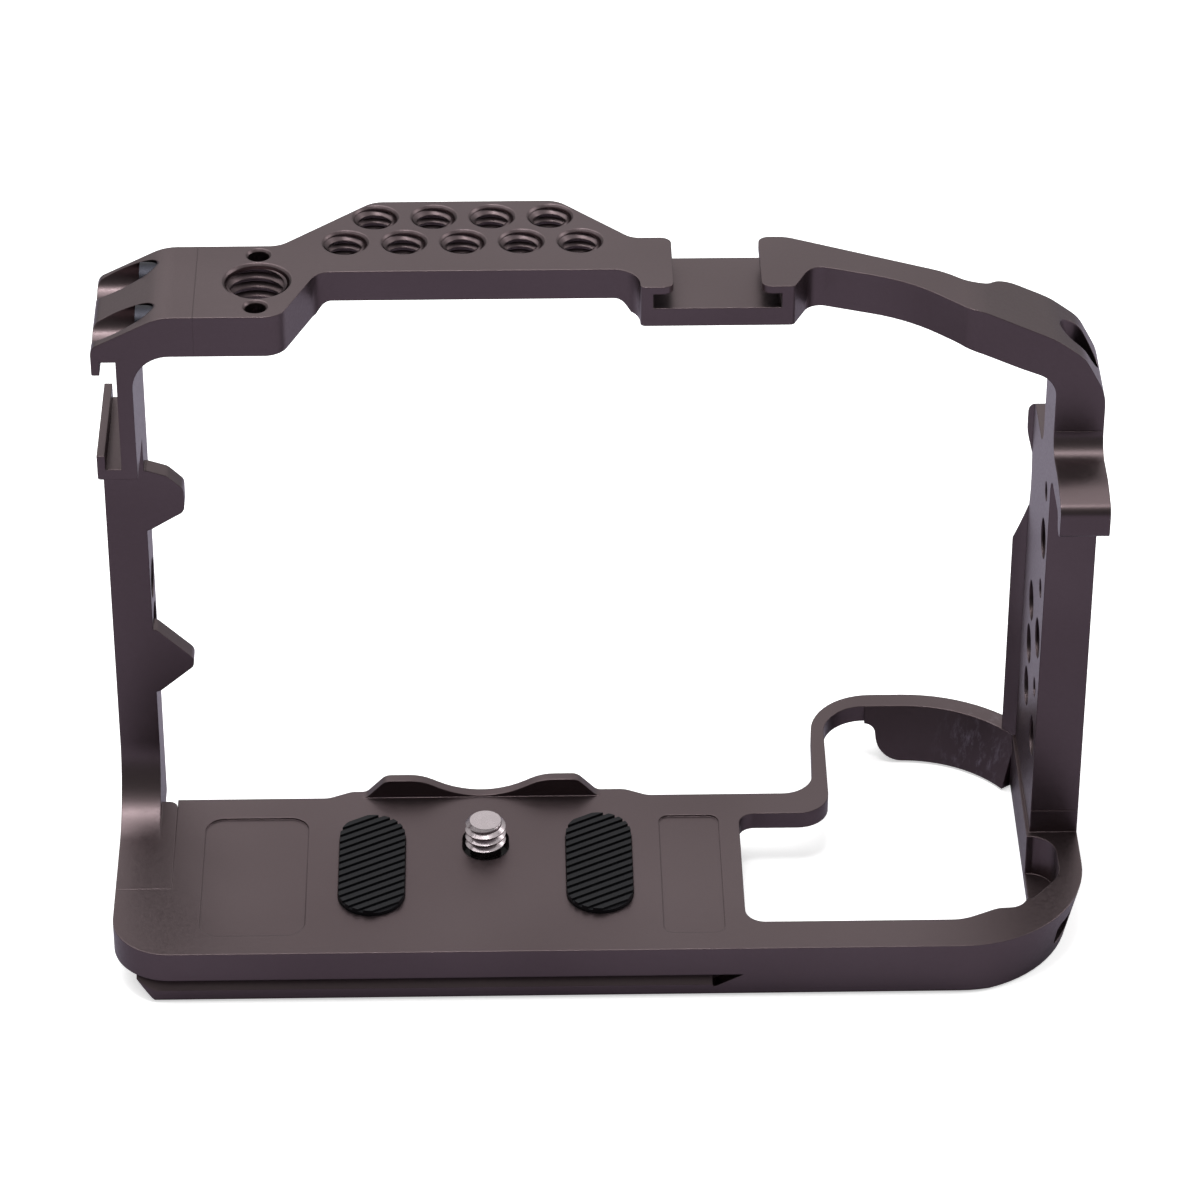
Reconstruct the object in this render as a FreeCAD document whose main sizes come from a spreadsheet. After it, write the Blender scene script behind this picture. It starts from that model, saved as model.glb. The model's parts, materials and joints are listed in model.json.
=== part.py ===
import FreeCAD, Part
import math
import os

# Camera cage for a mirrorless camera, seen from the camera's back.
# +X is right, +Y goes away from the photographer towards the lens, +Z is up.
# The origin is the middle of the bounding box at the height of the bottom of the dovetail.

V = FreeCAD.Vector
doc = FreeCAD.newDocument("camera_cage")
sheet = doc.addObject("Spreadsheet::Sheet", "sizes")

SIZES = {
    # whole frame
    "half_width": 74.3, "half_depth": 32.6, "base_top": 9.1, "slab": 5.0,
    "plate_top": 104.1, "plate": 6.6, "bar_rise": 1.65, "rear_face": -4.4, "side_inner": 66.95,
    # base plate
    "base_front": 6.35, "rear_left_round": 9.0, "rear_right_round": 20.0, "ring_round": 24.9,
    "ring_wall": 3.1, "strip_height": 2.9, "groove": 2.5, "pocket_depth": 0.3, "pad_seat": 1.0,
    "lip_height": 3.2, "lip_thickness": 1.65, "post_height": 4.1, "groove_end": 17.2, "skirt_lean": 2.5,
    "skirt_start": 43.4, "skirt_from": 36.0, "skirt_sweep": 54.0, "web_rear": 1.2, "rear_lean": 0.6,
    "strip_left": 20.5, "strip_right": 45.2, "relief_front": 3.2,
    "end_lean": 2.1, "lean_overhang": 2.7, "recess_floor": 1.9, "socket_roof": 2.2, "recess_slack": 0.2,
    "screw_x": -17.6, "screw_y": -5.5, "slot_width": 7.2, "slot_travel": 0.95,
    "recess_width": 14.6, "recess_roof": 6.0,
    # threads and plain holes, as diameters
    "quarter_thread": 6.35, "three_eighths_thread": 9.525, "locating_hole": 3.1, "thread_chamfer": 0.35,
    "hole_pitch": 8.68, "row_pitch": 7.3, "locating_offset": 7.3,
    # cold shoes
    "shoe_slot": 18.9, "shoe_gap": 12.9, "shoe_lip": 1.2, "shoe_height": 2.4, "lip_round": 1.6,
    # left arm
    "arm_seam": -59.0, "block_front": 15.75, "arm_rear": 6.9, "arm_inner": -68.2, "shoe_wall": -70.5,
    "foot_thickness": 3.0, "foot_seam_x": -65.75, "foot_seam_y": -16.4,
    # right side
    "side_seam": 83.1, "corner_front": 7.6, "rest_reach": 14.0,
    # rubber pads
    "pad_width": 10.1, "pad_length": 24.2, "pad_proud": 1.0, "rib_pitch": 1.7, "rib_depth": 0.45,
    "pad_offset": 17.5, "pad_y": -11.5,
    # camera screw
    "screw_proud": 4.35, "neck": 4.9, "head": 12.0, "head_height": 2.4, "head_bottom": 1.6,
    "thread_length": 4.15, "coin_slot": 1.6, "coin_slot_depth": 1.2,
    # assembly screws
    "clear_hole": 3.4, "tap_hole": 3.0, "cap_head": 5.5, "cap_bore": 6.0, "cap_height": 3.0,
    "cap_shank": 2.9, "hex_socket": 2.5, "socket_depth": 1.5, "top_screw_z": 100.6, "corner_seat": 87.5,
    "dowel": 2.0, "dowel_length": 6.0, "adhesive": 0.15,
    "top_tap": 6.5, "foot_tap": 2.4, "post_tap": 7.0, "corner_tap": 9.0, "through": 20.0, "tab": 3.0,
    "strap_width": 5.0, "strap_height": 4.0, "strap_level": 4.1, "strap_angle": 30.0,
    # parts that keep the camera screw captive
    "retainer": 14.2, "retainer_bottom": 4.5, "retainer_height": 1.3, "retainer_hole": 5.3,
    "washer": 10.0, "washer_height": 0.45, "ring_height": 1.0, "ring_inside": 13.2, "ring_outside": 15.4,
    "side_hole_pitch": 8.1,
}
for row, (alias, value) in enumerate(SIZES.items(), start=1):
    sheet.set("A%d" % row, alias)
    sheet.set("B%d" % row, str(value))
    sheet.setAlias("B%d" % row, alias)
doc.recompute()


def size(alias):
    """Reads a driving dimension back from the sheet."""
    return float(sheet.get(alias))


def cell(formula):
    """Turns words such as plate_top - plate into an expression on the sheet."""
    words = formula.replace("(", " ( ").replace(")", " ) ").split()
    return " ".join("<<sizes>>." + w if w in SIZES else w for w in words)


# Helpers for bodies, sketches and features

def new_body(name):
    body = doc.addObject("PartDesign::Body", name)
    body.Label = name
    return body


def origin_plane(body, role):
    return [f for f in body.Origin.OriginFeatures if f.Role == role][0]


def new_sketch(body, role, offset="0"):
    """A sketch on an origin plane, lifted along the plane's normal by a formula of the sheet."""
    sketch = body.newObject("Sketcher::SketchObject", body.Name + "_sketch")
    sketch.AttachmentSupport = [(origin_plane(body, role), "")]
    sketch.MapMode = "FlatFace"
    if offset != "0":
        sketch.setExpression("AttachmentOffset.Base.z", cell(offset))
    return sketch


def rounded_outline(points):
    """Lines and tangent arcs through corners given as (x, y) or (x, y, radius)."""
    edges = []
    count = len(points)
    ends = []
    for i, here in enumerate(points):
        p = V(here[0], here[1], 0)
        radius = here[2] if len(here) > 2 else 0
        before = V(points[i - 1][0], points[i - 1][1], 0)
        after = V(points[(i + 1) % count][0], points[(i + 1) % count][1], 0)
        if radius == 0:
            ends.append((p, p, None))
            continue
        u = (before - p).normalize()
        w = (after - p).normalize()
        angle = u.getAngle(w)
        reach = radius / math.tan(angle / 2)
        middle = (u + w).normalize() * (radius / math.sin(angle / 2) - radius)
        ends.append((p + u * reach, p + w * reach, p + middle))
    for i, (start, end, middle) in enumerate(ends):
        if middle is not None:
            edges.append(Part.Arc(start, middle, end))
        target = ends[(i + 1) % count][0]
        if (target - end).Length > 1e-6:
            edges.append(Part.LineSegment(end, target))
    return edges


def circle(x, y, diameter):
    return Part.Circle(V(x, y, 0), V(0, 0, 1), diameter / 2)


def slot_outline(x, y, width, length):
    """An obround along Y, centred on x, y; its length is the whole length."""
    a = width / 2
    b = length / 2
    r = a - 1e-4
    return rounded_outline([(x - a, y - b, r), (x + a, y - b, r), (x + a, y + b, r), (x - a, y + b, r)])


def draw(sketch, *wires):
    for wire in wires:
        sketch.addGeometry(wire if isinstance(wire, list) else [wire], False)
    return sketch


def pad(body, sketch, length, reverse=False):
    feature = body.newObject("PartDesign::Pad", body.Name + "_pad")
    feature.Profile = sketch
    feature.setExpression("Length", cell(length))
    feature.Reversed = reverse
    doc.recompute()
    return feature


def pocket(body, sketch, length, reverse=False, slant=None):
    """Cuts a sketch, straight or along a slanting direction, and makes sure that it took material away."""
    before = body.Shape.Volume
    feature = body.newObject("PartDesign::Pocket", body.Name + "_pocket")
    feature.Profile = sketch
    feature.setExpression("Length", cell(length))
    feature.Reversed = reverse
    if slant is not None:
        feature.UseCustomVector = True
        feature.Direction = slant
    doc.recompute()
    if not body.Shape.Volume < before - 1e-3:
        raise RuntimeError("a pocket of %s cut nothing" % body.Name)
    return feature


def break_edges(body, kind, wanted, amount):
    """Makes a Chamfer or a Fillet on the edges of the body's last shape that the test picks."""
    last = body.Tip
    names = ["Edge%d" % (i + 1) for i, edge in enumerate(last.Shape.Edges) if wanted(edge)]
    feature = body.newObject("PartDesign::" + kind, body.Name + "_" + kind)
    feature.Base = (last, names)
    feature.setExpression("Size" if kind == "Chamfer" else "Radius", cell(amount))
    doc.recompute()
    if feature.Shape.isNull() or not feature.isValid():
        raise RuntimeError("a %s of %s failed" % (kind, body.Name))
    return feature


def circles_at(axis, level, diameter):
    """Picks the full circles of one diameter that lie in a plane."""
    def test(edge):
        if not isinstance(edge.Curve, Part.Circle) or len(edge.Vertexes) > 1:
            return False
        flat = abs(getattr(edge.Curve.Center, axis) - level) < 1e-3
        return flat and abs(edge.Curve.Radius - diameter / 2) < 1e-3
    return test


def uprights_at(levels):
    """Picks the edges along Z whose X is one of the levels."""
    def test(edge):
        box = edge.BoundBox
        upright = box.XLength < 1e-3 and box.YLength < 1e-3
        return upright and any(abs(box.Center.x - level) < 1e-3 for level in levels)
    return test


# Sizes that several pieces share, worked out from the driving dimensions

W = size("half_width")
D = size("half_depth")
BASE_TOP = size("base_top")
TOP = size("plate_top")
UNDER = TOP - size("plate")
REAR = size("rear_face")
INNER = size("side_inner")
SCREW_X = size("screw_x")
SCREW_Y = size("screw_y")
QUARTER = size("quarter_thread")
BLOCK_FRONT = size("block_front")
ARM_REAR = size("arm_rear")
FOOT_X = size("foot_seam_x")
FOOT_Y = size("foot_seam_y")
SEAM_Z = size("side_seam")
RING = size("ring_round")
RING_X = W - RING
RING_Y = D - RING
FOOT_SCREWS = [(-70.0, -11.5), (-70.0, 1.0)]
POST_SCREWS = [(70.6, -1.4), (70.6, 5.0)]
CORNER_SCREW = (70.6, 1.6)
CORNER_DOWEL = (70.6, -2.2)
TOP_SCREWS_Y = [-0.2, 12.0]
TOP_SCREW_Z = size("top_screw_z")
# the recess under the camera screw is longer than wide by the screw's travel and a little slack
RECESS_TRAVEL = 2 * size("slot_travel") + size("recess_slack")
LENS_X = -18.2
SHOE_X = 17.4
BLOCK_X = -50.0
BLOCK_Y = 5.9
PITCH = size("hole_pitch")
BAR_HOLES = [(-19.9 + (i - 2) * PITCH, 16.55) for i in range(5)]
BAR_HOLES += [(-19.9 + (i - 1.5) * PITCH, 16.55 + size("row_pitch")) for i in range(4)]
ARM_HOLE_Y = 11.3
ARM_HOLES_Z = [48.0, 39.9]
SIDE_STEP = size("side_hole_pitch")
SIDE_HOLES = [(0.4, 60.9), (0.4, 42.6), (0.4, 24.3)] + [(10.5, 26.4 + i * SIDE_STEP) for i in range(3)]
SIDE_PINS = [(0.4, 51.8), (0.4, 33.4), (0.4, 69.4)]


def ring_arc(offset, start, end):
    """An arc about the grip ring's centre, inside its outer edge by the offset; angles in degrees."""
    r = RING - offset
    points = []
    for angle in (start, (start + end) / 2, end):
        a = math.radians(angle)
        points.append(V(RING_X + r * math.cos(a), RING_Y + r * math.sin(a), 0))
    return Part.Arc(*points), points[0], points[2]


def corner_arc(radius):
    """The round of the rear right corner, from the rear face to the right side."""
    x = W - radius
    y = radius - D
    points = []
    for angle in (-90, -45, 0):
        a = math.radians(angle)
        points.append(V(x + radius * math.cos(a), y + radius * math.sin(a), 0))
    return Part.Arc(*points), points[0], points[2]


def chain(start, corners, end):
    """Open run of lines and tangent arcs from start through rounded corners to end."""
    closed = rounded_outline([(start.x, start.y)] + corners + [(end.x, end.y)])
    return closed[:-1]


# The base plate: slab with dovetail, grip ring round the battery door, lens lip and right post

def base_plate():
    body = new_body("base_plate")
    front = size("base_front")
    outer, right_end, ring_start = ring_arc(0, 0, 90)
    start = V(W, RING_Y, 0)
    run = chain(ring_start, [
        (34.7, D, 10.0), (33.8, front, 5.0), (-W, front), (-W, -D, size("rear_left_round")),
        (W, -D, size("rear_right_round"))], start)
    sketch = draw(new_sketch(body, "XY_Plane"), [outer] + run)
    pad(body, sketch, "base_top")
    # battery door opening and the space inside the grip ring
    inner, low_end, inner_start = ring_arc(size("ring_wall"), 38.2, 90)
    web_rear = size("web_rear")
    opening = chain(inner_start, [
        (36.5, inner_start.y, 7.0), (36.2, web_rear, 5.0), (21.9, web_rear, 2.5), (21.9, -26.1, 3.0),
        (55.0, -26.1, 8.0), (60.5, -23.4, 4.0), (64.5, -23.2, 3.0), (66.4, -16.5, 2.0),
        (66.5, low_end.y)], V(low_end.x, low_end.y, 0))
    pocket(body, draw(new_sketch(body, "XY_Plane", "base_top"), [inner] + opening), "base_top + 1")
    # leaning inner wall of the grip ring: a straight length, then turned about the ring's centre
    wall = RING - size("ring_wall")
    toe = wall - size("skirt_lean")
    section = [(wall, BASE_TOP), (wall + 1, BASE_TOP), (wall + 1, 0), (toe, 0)]
    straight = rounded_outline([(RING_Y + r, z) for r, z in section])
    pad(body, draw(new_sketch(body, "YZ_Plane", "skirt_start"), straight),
        "half_width - ring_round - skirt_start")
    lean = new_sketch(body, "XZ_Plane")
    turn = FreeCAD.Rotation(V(0, 1, 0), size("skirt_from"))
    lean.AttachmentOffset = FreeCAD.Placement(V(RING_X, 0, -RING_Y), turn)
    draw(lean, rounded_outline(section))
    skirt = body.newObject("PartDesign::Revolution", "skirt_turn")
    skirt.Profile = lean
    skirt.ReferenceAxis = (lean, ["V_Axis"])
    skirt.Angle = size("skirt_sweep")
    doc.recompute()
    # relief under the web and the thin strip, which leaves the skirt standing at the right
    strip_under = BASE_TOP - size("strip_height")
    left = size("strip_left")
    right = size("strip_right")
    relief = rounded_outline([(left, -1), (left, strip_under, 1.0), (right, strip_under, 1.8),
                              (right, 0, 4.4), (right + 7, 0), (right + 7, -1)])
    relief_sketch = draw(new_sketch(body, "XZ_Plane", "0 - half_depth - 2"), relief)
    pocket(body, relief_sketch, "half_depth + 2 + relief_front", reverse=True)
    # dovetail grooves along both long sides, running out to a point at the right
    groove_top = BASE_TOP - size("slab")
    for side, edge in ((-1, -D), (1, front)):
        depth = size("groove")
        inner_y = edge - side * depth
        flank = [V(-W - 1, edge + side, groove_top), V(-W - 1, inner_y, groove_top),
                 V(-W - 1, edge, groove_top - depth), V(-W - 1, edge + side, groove_top - depth)]
        groove = new_sketch(body, "YZ_Plane", "0 - half_width - 1")
        draw(groove, rounded_outline([(p.y, p.z) for p in flank]))
        pocket(body, groove, "half_width + 1 + groove_end", reverse=True)
    end = size("groove_end")
    groove_low = groove_top - size("groove")
    point = rounded_outline([(end - 0.5, groove_top), (end + 4.2, groove_top), (end, groove_low),
                             (end - 0.5, groove_low)])
    pocket(body, draw(new_sketch(body, "XZ_Plane", "half_depth"), point), "groove")
    # left end of the dovetail stands in from the slab
    left_end = rounded_outline([(-W - 1, -1), (-67.1, -1), (-70.6, 3.2), (-70.6, groove_top),
                                (-W - 1, groove_top)])
    cut = draw(new_sketch(body, "XZ_Plane", "0 - half_depth - 1"), left_end)
    pocket(body, cut, "2 * half_depth + 2", reverse=True)
    # seat for the left arm's foot
    seat = rounded_outline([(-W - 1, FOOT_Y), (FOOT_X, FOOT_Y), (FOOT_X, front + 1), (-W - 1, front + 1)])
    pocket(body, draw(new_sketch(body, "XY_Plane", "base_top"), seat), "foot_thickness")
    # shallow relief pockets and the seats of the two rubber pads
    left_relief = rounded_outline([(-61.1, -28.1, 3.0), (-45.1, -28.1, 3.0), (-45.1, 1.4, 3.0),
                                   (-61.1, 1.4, 3.0)])
    right_relief = rounded_outline([(9.4, -28.5, 1.6), (18.7, -28.5, 1.6), (18.7, 1.0, 1.6), (9.4, 1.0, 1.6)])
    reliefs = draw(new_sketch(body, "XY_Plane", "base_top"), left_relief, right_relief)
    pocket(body, reliefs, "pocket_depth")
    seats = [slot_outline(SCREW_X + k * size("pad_offset"), size("pad_y"), size("pad_width") + 0.1,
                          size("pad_length") + 0.1) for k in (-1, 1)]
    pocket(body, draw(new_sketch(body, "XY_Plane", "base_top"), *seats), "pad_seat")
    # camera screw slot and the recess for its head
    width = size("slot_width")
    slot = slot_outline(SCREW_X, SCREW_Y, width, width + 2 * size("slot_travel"))
    pocket(body, draw(new_sketch(body, "XY_Plane", "base_top"), slot), "base_top + 1")
    width = size("recess_width")
    recess = slot_outline(SCREW_X, SCREW_Y, width, width + RECESS_TRAVEL)
    pocket(body, draw(new_sketch(body, "XY_Plane"), recess), "recess_roof", reverse=True)
    # tripod sockets in the underside
    sockets = [circle(2.8, SCREW_Y, QUARTER), circle(-40.0, SCREW_Y, size("three_eighths_thread"))]
    pocket(body, draw(new_sketch(body, "XY_Plane"), *sockets), "base_top - socket_roof", reverse=True)
    # assembly screws come up from the underside: clearance holes and counterbores
    holes = [circle(x, y, size("clear_hole")) for x, y in FOOT_SCREWS + POST_SCREWS]
    pocket(body, draw(new_sketch(body, "XY_Plane"), *holes), "base_top + 1", reverse=True)
    bores = [circle(x, y, size("cap_bore")) for x, y in FOOT_SCREWS + POST_SCREWS]
    pocket(body, draw(new_sketch(body, "XY_Plane"), *bores), "cap_height + 0.3", reverse=True)
    # recess in the right wall for a wrist strap
    wall = rounded_outline([(60.0, -22.0), (66.0, -21.2, 3.0), (70.7, -15.5, 6.0), (70.7, -6.8, 4.0),
                            (67.5, -5.6, 1.0), (60.0, -5.6)])
    pocket(body, draw(new_sketch(body, "XY_Plane", "base_top"), wall), "base_top - recess_floor")
    # the right end leans in towards the bottom, and the lean fades out before the post
    corner = size("rear_right_round")
    side, low_end, high_end = corner_arc(corner)
    clear = W + 16
    below = -D - 12
    outside = [side] + chain(high_end, [(W + size("lean_overhang"), -2.0), (clear, -2.0), (clear, below),
                                        (W - corner, below)], low_end)
    cut = draw(new_sketch(body, "XY_Plane", "base_top"), outside)
    pocket(body, cut, "base_top + 2", slant=V(-size("end_lean"), 0, -BASE_TOP))
    # below the slab the rear face leans in, and the lean fades out round the corner
    side, low_end, high_end = corner_arc(corner)
    outside = [side] + chain(high_end, [(W + 3, high_end.y), (W + 3, -D - 3), (-W - 1, -D - 3), (-W - 1, -D)],
                             low_end)
    cut = draw(new_sketch(body, "XY_Plane", "base_top - slab"), outside)
    pocket(body, cut, "base_top", slant=V(0, size("rear_lean"), -groove_top))
    # strap hole through the round corner, drilled from the middle of its curve
    strap = new_sketch(body, "XZ_Plane")
    turn = FreeCAD.Rotation(V(0, 1, 0), 90 - size("strap_angle"))
    strap.AttachmentOffset = FreeCAD.Placement(V(W - corner, 0, D - corner), turn)
    a = size("strap_width") / 2
    low = size("strap_level") - size("strap_height") / 2
    high = low + size("strap_height")
    draw(strap, rounded_outline([(-a, low, 1.0), (a, low, 1.0), (a, high, 1.0), (-a, high, 1.0)]))
    pocket(body, strap, "rear_right_round + 1", reverse=True)
    # groove in the recess wall for the snap ring
    width = size("ring_outside")
    groove = slot_outline(SCREW_X, SCREW_Y, width, width + RECESS_TRAVEL)
    pocket(body, draw(new_sketch(body, "XY_Plane", "retainer_bottom"), groove), "ring_height + 0.1")
    # post under the side plate
    pad(body, draw(new_sketch(body, "XY_Plane", "base_top - 1"), post_outline()), "post_height + 1")
    holes = [circle(x, y, size("clear_hole")) for x, y in POST_SCREWS]
    pocket(body, draw(new_sketch(body, "XY_Plane"), *holes), "base_top + post_height", reverse=True)
    # swelling of the front edge, and the lip on it that is hollowed round the lens
    z0 = BASE_TOP - size("slab")
    z1 = BASE_TOP + size("lip_height")
    y1 = front + size("lip_thickness")
    swell = rounded_outline([(-44.0, front - 0.5), (-44.0, front), (-42.2, front, 3.0), (-38.6, y1, 3.0),
                             (4.2, y1, 3.0), (7.8, front, 3.0), (9.6, front), (9.6, front - 0.5)])
    pad(body, draw(new_sketch(body, "XY_Plane", "base_top - slab"), swell), "slab")
    half = [(20.0, z0 + 0.5), (20.0, BASE_TOP), (18.1, BASE_TOP, 1.5), (15.0, z1, 2.0), (9.4, z1, 8.0)]
    left_half = [(LENS_X - x, *rest) for x, *rest in half]
    right_half = [(LENS_X + x, *rest) for x, *rest in reversed(half)]
    lip = rounded_outline(left_half + [(LENS_X, z1 - 4.8, 15.0)] + right_half)
    face = draw(new_sketch(body, "XZ_Plane", "0 - base_front - lip_thickness"), lip)
    pad(body, face, "lip_thickness")
    return body


def post_outline():
    return rounded_outline([(INNER, REAR), (W, REAR), (W, RING_Y), (INNER, RING_Y)])


# The top plate: left block, bar of threaded holes, cold shoe, curved right bar and its corner

def top_plate():
    body = new_body("top_plate")
    shoe_rear = 2.9
    shoe_front = 17.2
    front = size("corner_front")
    seam = size("arm_seam")
    bar_rear = 8.17
    bar_front = 28.35
    outline = rounded_outline([
        (seam, REAR), (-46.5, REAR, 3.5), (-41.3, bar_rear, 3.0), (6.1, bar_rear, 4.2), (6.1, shoe_rear, 0.8),
        (28.6, shoe_rear, 0.8), (31.4, 8.9, 2.6), (45.5, 4.0, 25.0), (54.2, REAR, 4.0), (W, REAR),
        (W, front), (59.4, front, 5.0), (55.6, 2.6, 3.0), (50.6, 6.7, 12.0), (28.0, 17.1, 5.0),
        (23.0, shoe_front), (5.1, shoe_front, 3.0), (-5.8, bar_front, 4.0), (-33.4, bar_front, 4.0),
        (-47.0, BLOCK_FRONT, 4.0), (seam, BLOCK_FRONT)])
    pad(body, draw(new_sketch(body, "XY_Plane", "side_seam"), outline), "plate_top - side_seam")
    # underside of the plate, of the thinner bar and of the falling corner
    bar_under = UNDER + size("bar_rise")
    under = rounded_outline([
        (-W, SEAM_Z - 1), (-W, UNDER), (-41.6, UNDER), (-40.2, bar_under, 2.0), (3.4, bar_under, 2.0),
        (4.8, UNDER), (54.0, UNDER, 12.0), (61.5, 94.1, 10.0), (INNER, 91.9, 4.0), (INNER, SEAM_Z - 1)])
    below = draw(new_sketch(body, "XZ_Plane", "0 - half_depth"), under)
    pocket(body, below, "2 * half_depth", reverse=True)
    # outside of the corner: the top falls away and turns down into the side
    over = rounded_outline([(53.0, TOP + 1), (53.0, TOP), (55.2, TOP, 8.0), (66.6, 98.9, 14.0),
                            (71.0, 95.6, 6.0), (W, 89.4, 8.0), (W, 84.0), (W + 1, 84.0), (W + 1, TOP + 1)])
    above = draw(new_sketch(body, "XZ_Plane", "0 - half_depth"), over)
    pocket(body, above, "2 * half_depth", reverse=True)
    # cold shoe: T-shaped slot along Y
    middle = SHOE_X
    wide = size("shoe_slot") / 2
    narrow = size("shoe_gap") / 2
    z2 = TOP - size("shoe_lip")
    z1 = z2 - size("shoe_height")
    slot = rounded_outline([(middle - wide, z1), (middle + wide, z1), (middle + wide, z2),
                            (middle + narrow, z2), (middle + narrow, TOP + 1), (middle - narrow, TOP + 1),
                            (middle - narrow, z2), (middle - wide, z2)])
    pocket(body, draw(new_sketch(body, "XZ_Plane", "0 - half_depth"), slot), "half_depth", reverse=True)
    break_edges(body, "Fillet", uprights_at([middle - narrow, middle + narrow]), "lip_round")
    # threaded holes, locating holes
    quarter = [circle(x, y, QUARTER) for x, y in BAR_HOLES]
    through = quarter + [circle(BLOCK_X, BLOCK_Y, size("three_eighths_thread"))]
    offset = size("locating_offset")
    through += [circle(BLOCK_X, BLOCK_Y + k * offset, size("locating_hole")) for k in (-1, 1)]
    pocket(body, draw(new_sketch(body, "XY_Plane", "plate_top"), *through), "plate")
    # tapped holes for the screws of the left arm
    taps = [circle(y, TOP_SCREW_Z, size("tap_hole")) for y in TOP_SCREWS_Y]
    pocket(body, draw(new_sketch(body, "YZ_Plane", "arm_seam"), *taps), "top_tap", reverse=True)
    # screw pocket and dowel hole of the corner
    x, y = CORNER_SCREW
    bore = draw(new_sketch(body, "XY_Plane", "corner_seat"), circle(x, y, size("cap_bore")))
    pocket(body, bore, "through", reverse=True)
    hole = draw(new_sketch(body, "XY_Plane", "side_seam"), circle(x, y, size("clear_hole")))
    pocket(body, hole, "through", reverse=True)
    dowel = draw(new_sketch(body, "XY_Plane", "side_seam"), circle(*CORNER_DOWEL, size("dowel")))
    pocket(body, dowel, "dowel_length / 2", reverse=True)
    for diameter in (QUARTER, size("three_eighths_thread")):
        break_edges(body, "Chamfer", circles_at("z", TOP, diameter), "thread_chamfer")
    break_edges(body, "Chamfer", circles_at("z", TOP, size("locating_hole")), "thread_chamfer")
    return body


# The left arm: corner over the ports, side cold shoe, slim upright with two tabs, foot on the base

def left_arm():
    body = new_body("left_arm")
    wall = size("shoe_wall")
    inner = size("arm_inner")
    lip = wall - size("shoe_height")
    hook = lip - size("shoe_lip")
    ceiling = 96.6
    floor = ceiling - size("shoe_slot") + 0.3
    bottom = floor - 1.7
    gap_top = ceiling - 2.2
    gap_low = floor + 2.4
    block = rounded_outline([
        (size("arm_seam"), TOP), (-64.0, TOP, 8.0), (hook, 99.0, 1.8), (hook, gap_top, 0.3),
        (lip, gap_top), (lip, ceiling),
        (wall, ceiling), (wall, floor), (lip, floor), (lip, gap_low), (hook, gap_low), (hook, bottom, 0.4),
        (inner, bottom), (inner, UNDER, 5.5), (size("arm_seam"), UNDER)])
    pad(body, draw(new_sketch(body, "XZ_Plane", "0 - block_front"), block), "block_front - rear_face")
    # upright, with the round that turns it back into the foot
    low = BASE_TOP - size("slab")
    foot_under = BASE_TOP - size("foot_thickness")
    front = size("base_front")
    upright = rounded_outline([
        (ARM_REAR, bottom + 1), (ARM_REAR, BASE_TOP, 11.0), (FOOT_Y, BASE_TOP), (FOOT_Y, foot_under),
        (front, foot_under), (front, low), (BLOCK_FRONT, low), (BLOCK_FRONT, bottom + 1)])
    pad(body, draw(new_sketch(body, "YZ_Plane", "0 - half_width"), upright), "half_width + arm_inner")
    edge = front - 0.4
    flat = rounded_outline([(-W, FOOT_Y), (FOOT_X, FOOT_Y), (FOOT_X, edge, 1.5), (-W, edge)])
    pad(body, draw(new_sketch(body, "XY_Plane", "base_top - foot_thickness"), flat), "foot_thickness")
    # tabs that reach in front of the camera's side
    upper_tab = rounded_outline([
        (inner - 1, 70.4), (inner + 0.4, 70.4, 0.6), (-64.8, 69.4, 2.0), (-62.4, 67.0, 1.6),
        (-62.4, 63.0, 1.6), (-65.2, 61.3, 1.4), (-67.4, 59.9, 1.0), (inner - 1, 59.2)])
    lower_tab = rounded_outline([(inner - 1, 41.6), (-67.6, 41.2, 1.0), (-62.2, 35.9, 1.4),
                                 (-62.2, 34.4, 1.2), (-67.4, 29.9, 1.0), (inner - 1, 29.2)])
    tabs = draw(new_sketch(body, "XZ_Plane", "0 - arm_rear - tab"), upper_tab, lower_tab)
    pad(body, tabs, "tab")
    # pockets and holes of the two screws that hold the top plate
    bores = [circle(y, TOP_SCREW_Z, size("cap_bore")) for y in TOP_SCREWS_Y]
    pocket(body, draw(new_sketch(body, "YZ_Plane", "arm_seam - 5.5"), *bores), "through")
    holes = [circle(y, TOP_SCREW_Z, size("clear_hole")) for y in TOP_SCREWS_Y]
    pocket(body, draw(new_sketch(body, "YZ_Plane", "arm_seam"), *holes), "through")
    # tapped holes in the foot, threaded holes through the upright
    taps = [circle(x, y, size("tap_hole")) for x, y in FOOT_SCREWS]
    tapped = draw(new_sketch(body, "XY_Plane", "base_top - foot_thickness"), *taps)
    pocket(body, tapped, "foot_tap", reverse=True)
    side = [circle(ARM_HOLE_Y, z, QUARTER) for z in ARM_HOLES_Z]
    pocket(body, draw(new_sketch(body, "YZ_Plane", "arm_inner"), *side), "through")
    break_edges(body, "Chamfer", circles_at("x", -W, QUARTER), "thread_chamfer")
    return body


# The right side plate: upright with mounting holes, thumb rest, and a panel that follows the grip

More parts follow.
